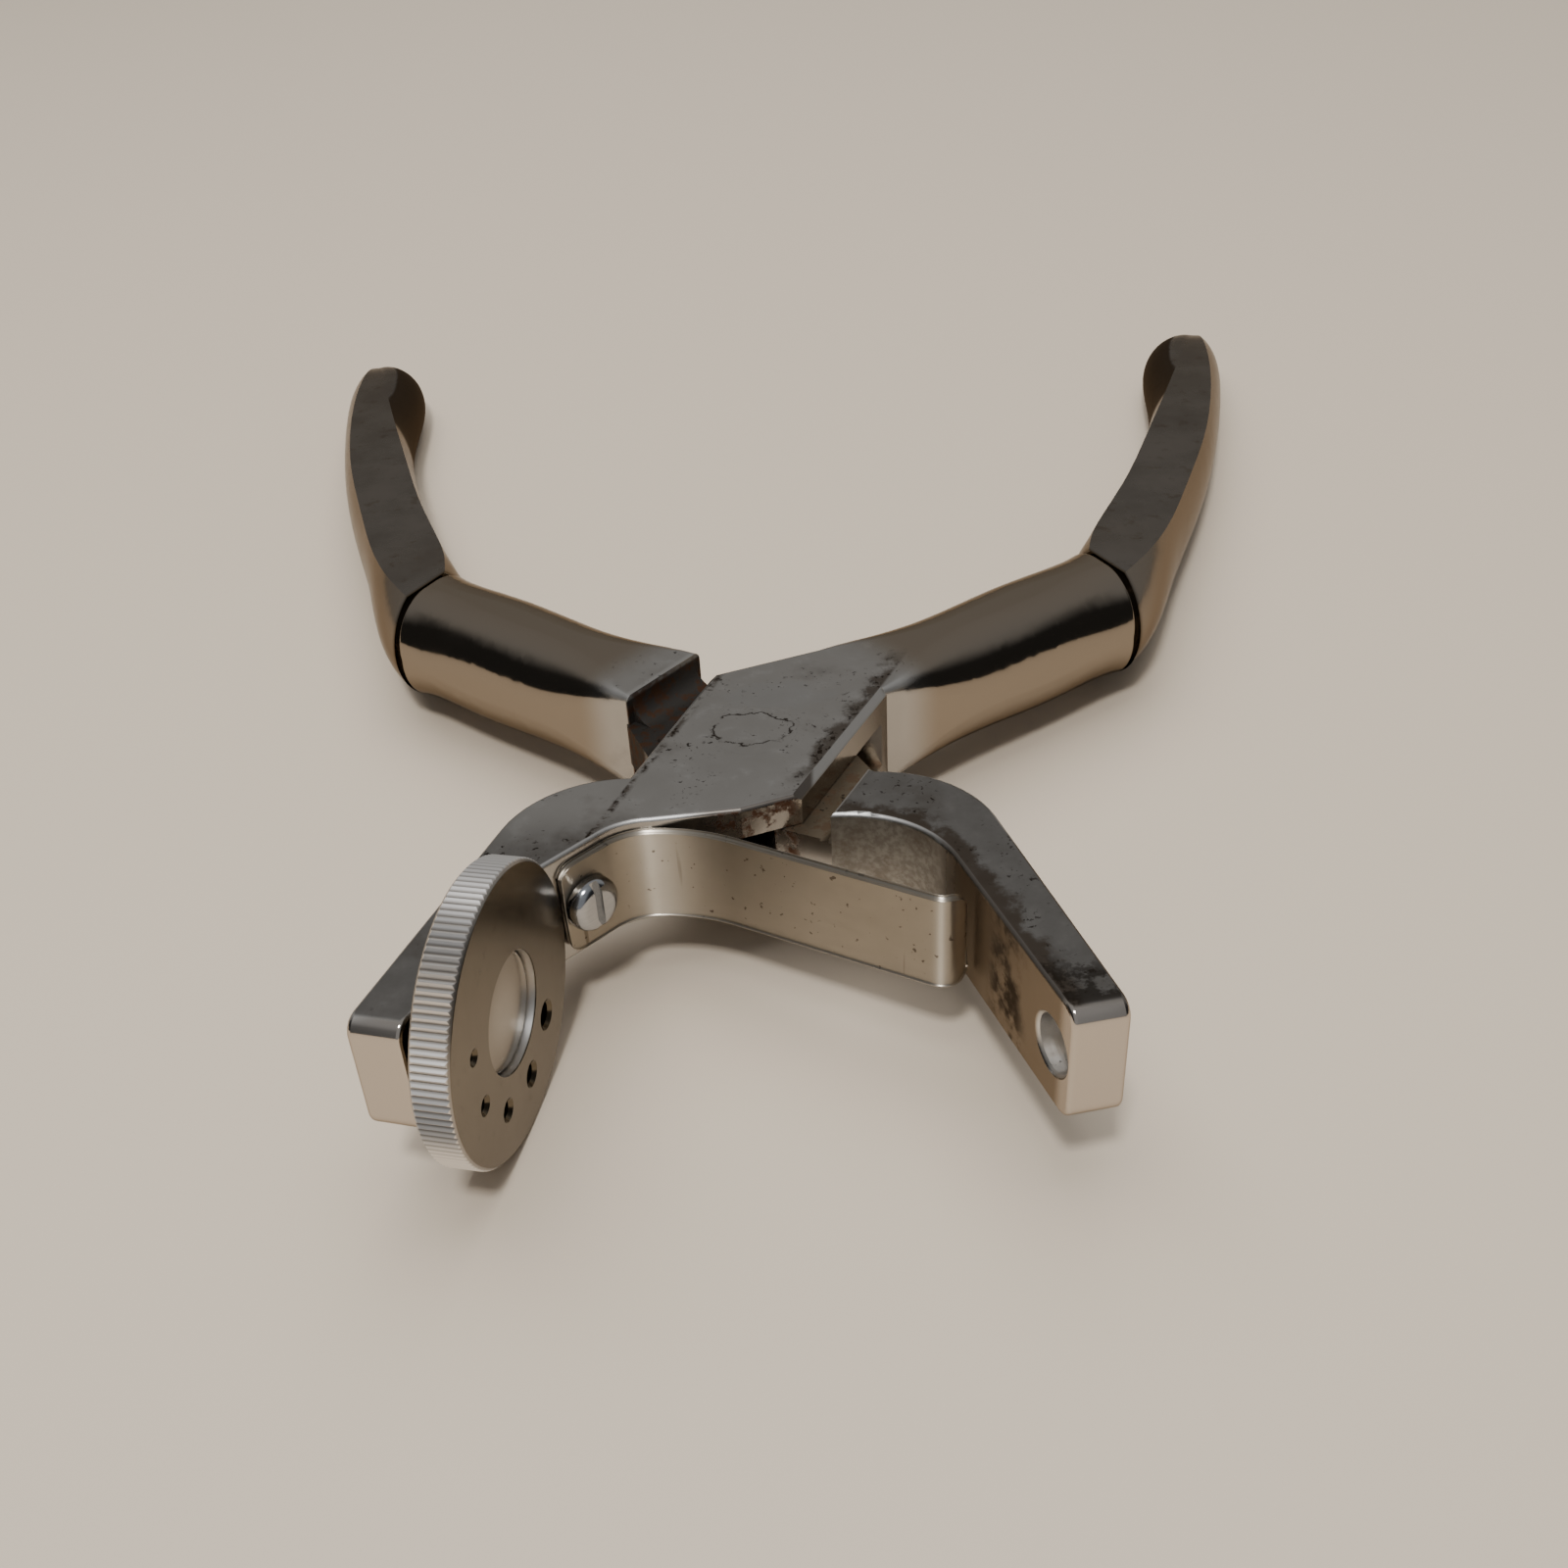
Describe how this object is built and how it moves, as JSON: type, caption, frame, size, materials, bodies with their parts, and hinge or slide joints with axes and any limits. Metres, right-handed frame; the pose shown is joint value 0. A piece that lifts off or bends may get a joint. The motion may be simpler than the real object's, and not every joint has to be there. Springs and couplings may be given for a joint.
{
  "type": "hole punch pliers",
  "caption": "Sprung hand pliers that punch small holes: a knurled turning disc of graded die holes on one jaw, a socket for a punch pin in the other.",
  "frame": {"origin": "on the pivot axis, at the lower flat face of the box joint", "axes": "+Z along the pivot axis, -Y towards the jaws, +Y towards the handles, disc jaw on the -X side"},
  "size_m": [0.1352, 0.1658, 0.0254],
  "materials": {
    "arm_steel": "worn nickel plate, satin, pitted",
    "spring_steel": "smooth rolled",
    "disc_steel": "dull brownish face, bright knurl",
    "bright_steel": "polished"
  },
  "bodies": {
    "disc_arm": {"female_arm": "arm_steel", "pivot_pin": "arm_steel", "leaf_spring": "spring_steel", "spring_screw": "bright_steel", "disc_stud": "bright_steel", "detent_spring": "spring_steel"},
    "punch_arm": {"male_arm": "arm_steel"},
    "disc": {"punch_disc": "disc_steel"},
    "ball": {"detent_ball": "bright_steel"}
  },
  "joints": [
    {"name": "arm_hinge", "type": "hinge", "parent": "disc_arm", "child": "punch_arm", "pos_m": [0, 0, 0], "axis": [0, 0, -1], "range_deg": [0, 31], "stiffness_Nm_per_rad": 0.6, "springref_deg": -20.05, "deforming": ["leaf_spring"]},
    {"name": "disc_spin", "type": "hinge", "parent": "disc_arm", "child": "disc", "pos_m": [-0.01865, -0.03317, 0.0057], "axis": [0.9823, -0.1874, 0], "continuous": true},
    {"name": "ball_slide", "type": "slide", "parent": "disc_arm", "child": "ball", "axis": [0.9823, -0.1874, 0], "range_m": [-0.0003, 0], "stiffness_N_per_m": 1500, "springref_m": 0.0008, "deforming": ["detent_spring"]}
  ]
}
